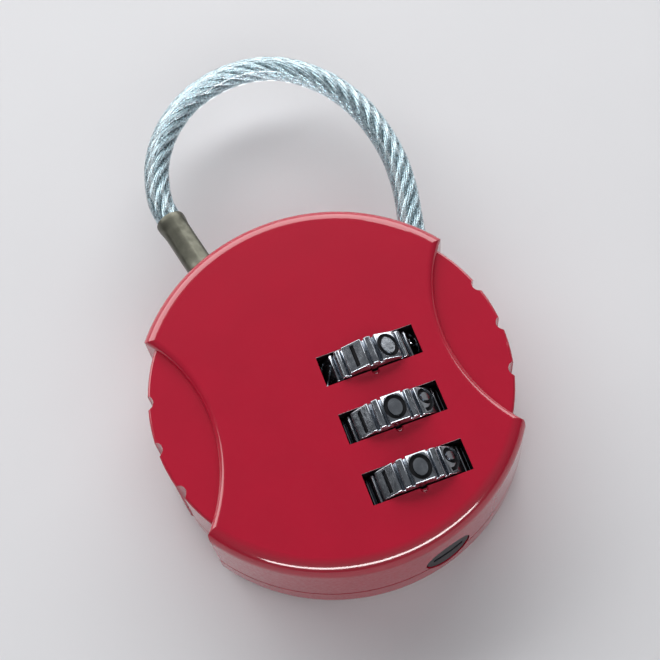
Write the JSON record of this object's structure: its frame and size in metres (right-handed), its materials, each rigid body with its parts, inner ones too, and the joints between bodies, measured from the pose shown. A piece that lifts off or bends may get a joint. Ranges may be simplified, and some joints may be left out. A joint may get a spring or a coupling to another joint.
{
  "type": "combination cable padlock",
  "caption": "Round luggage padlock with numbered dials, a clear-jacketed wire-rope shackle and a crimped locking end.",
  "frame": {"origin": "centre of the rear face, which the lock lies on", "axes": "+Z out of the dial face, +Y towards the cable shackle, +X to the right when the dials are read"},
  "size_m": [0.0418, 0.0729, 0.0144],
  "materials": {
    "red_paint": "gloss red enamel on die-cast zinc",
    "rivet_steel": "flush rivet heads",
    "steel": "plain turned or stamped steel",
    "spring_steel": "bright spring wire and strip",
    "ferrule_metal": "dull bronze-green plated crimp",
    "clear_vinyl": "clear soft vinyl jacket",
    "galvanised_wire": "twisted galvanised strands",
    "black_plastic": "dark moulded plastic",
    "black_nickel": "dark nickel plating on die-cast zinc",
    "sleeve_brass": "plain brass"
  },
  "bodies": {
    "lock_body": {"front_cover": "red_paint", "rear_cover": "red_paint", "body_rivets": "rivet_steel", "latch_pivot_pin": "steel", "detent_spring": "spring_steel", "anchor_sleeve": "ferrule_metal", "cable_jacket": "clear_vinyl", "wire_rope": "galvanised_wire", "spindle_spring": "spring_steel", "sleeve_return_spring": "spring_steel"},
    "cable_end": {"ferrule": "ferrule_metal", "locking_tip": "steel"},
    "latch": {"latch_lever": "steel"},
    "spindle": {"spindle": "steel"},
    "reset": {"reset_button": "black_plastic"},
    "dial_1": {"dial_1": "black_nickel"},
    "clutch_1": {"clutch_sleeve_1": "sleeve_brass"},
    "dial_2": {"dial_2": "black_nickel"},
    "clutch_2": {"clutch_sleeve_2": "sleeve_brass"},
    "dial_3": {"dial_3": "black_nickel"},
    "clutch_3": {"clutch_sleeve_3": "sleeve_brass"}
  },
  "joints": [
    {"name": "ferrule_pull", "type": "slide", "parent": "lock_body", "child": "cable_end", "axis": [-0.2099, 0.9777, 0], "range_m": [0, 0.009], "deforming": ["cable_jacket", "wire_rope"]},
    {"name": "latch_swing", "type": "hinge", "parent": "lock_body", "child": "latch", "pos_m": [-0.0005, 0.012, 0.0065], "axis": [0, 0, -1], "range_deg": [0, 14.33]},
    {"name": "spindle_slide", "type": "slide", "parent": "lock_body", "child": "spindle", "axis": [0, -1, 0], "range_m": [0, 0.00143], "deforming": ["spindle_spring"]},
    {"name": "reset_press", "type": "slide", "parent": "lock_body", "child": "reset", "axis": [0, 1, 0], "range_m": [0, 0.0013], "stiffness_N_per_m": 500, "deforming": ["sleeve_return_spring"]},
    {"name": "dial_1_turn", "type": "hinge", "parent": "lock_body", "child": "dial_1", "pos_m": [0.0052, 0.00096, 0.0078], "axis": [0, 1, 0], "continuous": true},
    {"name": "clutch_1_shift", "type": "slide", "parent": "dial_1", "child": "clutch_1", "axis": [0, 1, 0], "range_m": [0, 0.0013]},
    {"name": "dial_2_turn", "type": "hinge", "parent": "lock_body", "child": "dial_2", "pos_m": [0.0052, -0.0065, 0.0078], "axis": [0, 1, 0], "continuous": true},
    {"name": "clutch_2_shift", "type": "slide", "parent": "dial_2", "child": "clutch_2", "axis": [0, 1, 0], "range_m": [0, 0.0013]},
    {"name": "dial_3_turn", "type": "hinge", "parent": "lock_body", "child": "dial_3", "pos_m": [0.0052, -0.01396, 0.0078], "axis": [0, 1, 0], "continuous": true},
    {"name": "clutch_3_shift", "type": "slide", "parent": "dial_3", "child": "clutch_3", "axis": [0, 1, 0], "range_m": [0, 0.0013]}
  ],
  "couplings": [
    {"joint": "latch_swing", "follows": "ferrule_pull", "rad_per_m": 27.778},
    {"joint": "spindle_slide", "follows": "ferrule_pull", "ratio": 0.15833},
    {"joint": "clutch_1_shift", "follows": "reset_press", "ratio": 1},
    {"joint": "clutch_2_shift", "follows": "reset_press", "ratio": 1},
    {"joint": "clutch_3_shift", "follows": "reset_press", "ratio": 1}
  ]
}
